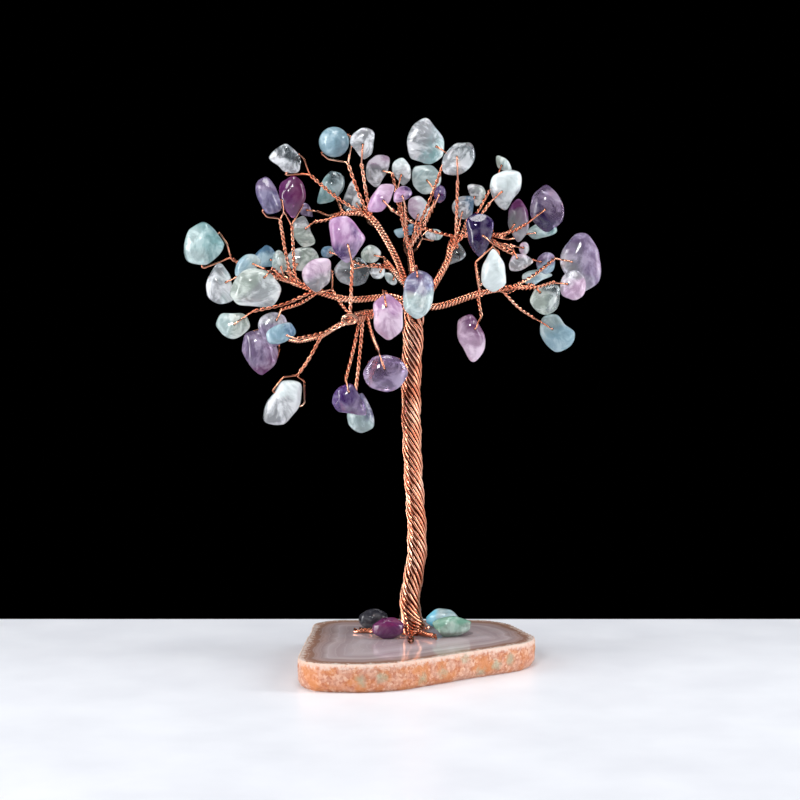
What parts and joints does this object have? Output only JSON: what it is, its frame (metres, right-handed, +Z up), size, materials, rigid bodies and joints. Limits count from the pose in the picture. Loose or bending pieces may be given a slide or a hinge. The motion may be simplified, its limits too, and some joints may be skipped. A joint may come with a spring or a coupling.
{
  "type": "gemstone tree ornament",
  "caption": "Small wire tree ornament: tumbled stone chips on twisted copper twigs, a twisted trunk with splayed roots, glued to a polished agate slice.",
  "frame": {"origin": "on the slice's flat underside, straight below the foot of the trunk", "axes": "+Z up along the trunk, +Y away from the viewer of the picture, +X to the viewer's right"},
  "size_m": [0.0914, 0.0667, 0.1198],
  "materials": {
    "copper_wire": "satin, fine twisted wires",
    "agate": "polished top, rough rind",
    "clear_resin": "gloss",
    "obsidian": "polished",
    "turquoise": "polished",
    "green_fluorite": "tumbled, polished",
    "teal_fluorite": "tumbled, polished",
    "blue_fluorite": "tumbled, polished",
    "pale_green_fluorite": "tumbled, polished",
    "clear_quartz": "tumbled, polished",
    "white_quartz": "tumbled, polished",
    "rose_lilac": "tumbled, polished",
    "lavender": "tumbled, polished",
    "amethyst": "tumbled, polished",
    "dark_amethyst": "tumbled, polished"
  },
  "bodies": {
    "tree": {"agate_slab": "agate", "trunk": "copper_wire", "base_obsidian": "obsidian", "base_amethyst": "amethyst", "base_turquoise": "turquoise", "base_green_fluorite": "green_fluorite", "resin_puddle": "clear_resin", "limb_middle": "copper_wire", "limb_right": "copper_wire", "limb_upper_right": "copper_wire", "limb_back": "copper_wire", "limb_top_left": "copper_wire", "limb_left": "copper_wire", "limb_front_left": "copper_wire", "stone_36_pink": "rose_lilac", "stone_37_grey_green": "pale_green_fluorite", "stones_clear_right": "clear_quartz", "stone_13_lilac": "rose_lilac", "stone_17_clear": "clear_quartz", "stones_pale_far_right": "pale_green_fluorite", "stone_19_white": "white_quartz", "stones_clear_upper": "clear_quartz", "stones_lilac_right": "lavender", "stone_23_dark_purple": "dark_amethyst", "stone_05_rose": "clear_quartz", "stones_amethyst_small": "amethyst", "stone_15_teal_grey": "teal_fluorite", "stone_16_ice": "pale_green_fluorite", "stones_white_middle": "white_quartz", "stones_blue_small": "blue_fluorite", "stones_pale_top_left": "clear_quartz", "stone_10_aqua": "teal_fluorite", "stone_07_mauve": "amethyst", "stone_42_clear_green": "pale_green_fluorite", "stones_blue_left": "blue_fluorite", "stones_pale_green_left": "pale_green_fluorite", "stone_55_lilac": "lavender", "stone_43_clear": "clear_quartz", "stone_32_lavender": "lavender", "stone_33_pink": "rose_lilac", "stone_12_amethyst": "amethyst", "stone_48_rose_lilac": "rose_lilac", "stone_59_purple": "dark_amethyst", "stone_60_blue_clear": "blue_fluorite", "stone_57_amethyst": "amethyst", "stones_clear_back": "clear_quartz", "stone_50_clear_ring": "clear_quartz"},
    "stone_31_white": {"stone_31_white": "white_quartz"},
    "stone_34_rose_lilac": {"stone_34_rose_lilac": "rose_lilac"},
    "stone_35_large_lilac": {"stone_35_large_lilac": "rose_lilac"},
    "stone_38_pale_blue": {"stone_38_pale_blue": "blue_fluorite"},
    "stone_20_purple": {"stone_20_purple": "dark_amethyst"},
    "stone_02_clear": {"stone_02_clear": "clear_quartz"},
    "stone_03_blue_bead": {"stone_03_blue_bead": "blue_fluorite"},
    "stone_06_lavender": {"stone_06_lavender": "lavender"},
    "stone_54_pale_green": {"stone_54_pale_green": "pale_green_fluorite"},
    "stone_01_teal": {"stone_01_teal": "teal_fluorite"},
    "stone_61_purple_disc": {"stone_61_purple_disc": "amethyst"},
    "stone_58_white": {"stone_58_white": "white_quartz"}
  },
  "joints": [
    {"name": "stone_31_white_rock", "type": "hinge", "parent": "tree", "child": "stone_31_white", "pos_m": [0.01637, -0.0156, 0.08701], "axis": [0.4996, 0.0011, 0.8663], "range_deg": [-12, 12]},
    {"name": "stone_34_rose_lilac_rock", "type": "hinge", "parent": "tree", "child": "stone_34_rose_lilac", "pos_m": [0.01363, -0.00471, 0.07392], "axis": [0.0327, 0.998, -0.0542], "range_deg": [-12, 12]},
    {"name": "stone_35_large_lilac_rock", "type": "hinge", "parent": "tree", "child": "stone_35_large_lilac", "pos_m": [0.03505, 0.00224, 0.08833], "axis": [0.0823, 0.9964, -0.022], "range_deg": [-12, 12]},
    {"name": "stone_38_pale_blue_rock", "type": "hinge", "parent": "tree", "child": "stone_38_pale_blue", "pos_m": [0.03101, 0.00419, 0.07345], "axis": [0.0711, 0.9961, -0.0527], "range_deg": [-12, 12]},
    {"name": "stone_20_purple_rock", "type": "hinge", "parent": "tree", "child": "stone_20_purple", "pos_m": [0.02899, 0.00071, 0.09974], "axis": [0.0664, 0.9978, 0.0033], "range_deg": [-12, 12]},
    {"name": "stone_02_clear_rock", "type": "hinge", "parent": "tree", "child": "stone_02_clear", "pos_m": [-0.02597, -0.0033, 0.1095], "axis": [-0.5439, -0.0068, -0.8391], "range_deg": [-12, 12]},
    {"name": "stone_03_blue_bead_rock", "type": "hinge", "parent": "tree", "child": "stone_03_blue_bead", "pos_m": [-0.01678, -0.00168, 0.11403], "axis": [-0.8287, -0.0062, -0.5597], "range_deg": [-12, 12]},
    {"name": "stone_06_lavender_rock", "type": "hinge", "parent": "tree", "child": "stone_06_lavender", "pos_m": [-0.03042, -0.00332, 0.10079], "axis": [-0.8645, -0.0477, -0.5004], "range_deg": [-12, 12]},
    {"name": "stone_54_pale_green_rock", "type": "hinge", "parent": "tree", "child": "stone_54_pale_green", "pos_m": [-0.03871, -0.00337, 0.07493], "axis": [-0.0756, 0.9959, -0.0495], "range_deg": [-12, 12]},
    {"name": "stone_01_teal_rock", "type": "hinge", "parent": "tree", "child": "stone_01_teal", "pos_m": [-0.04413, 0.00011, 0.09115], "axis": [-0.4522, -0.0518, -0.8904], "range_deg": [-12, 12]},
    {"name": "stone_61_purple_disc_rock", "type": "hinge", "parent": "tree", "child": "stone_61_purple_disc", "pos_m": [-0.00593, -0.01898, 0.06624], "axis": [-0.0064, 0.9974, -0.0714], "range_deg": [-12, 12]},
    {"name": "stone_58_white_rock", "type": "hinge", "parent": "tree", "child": "stone_58_white", "pos_m": [-0.02674, -0.01554, 0.05963], "axis": [0.8817, 0.007, -0.4718], "range_deg": [-12, 12]}
  ]
}
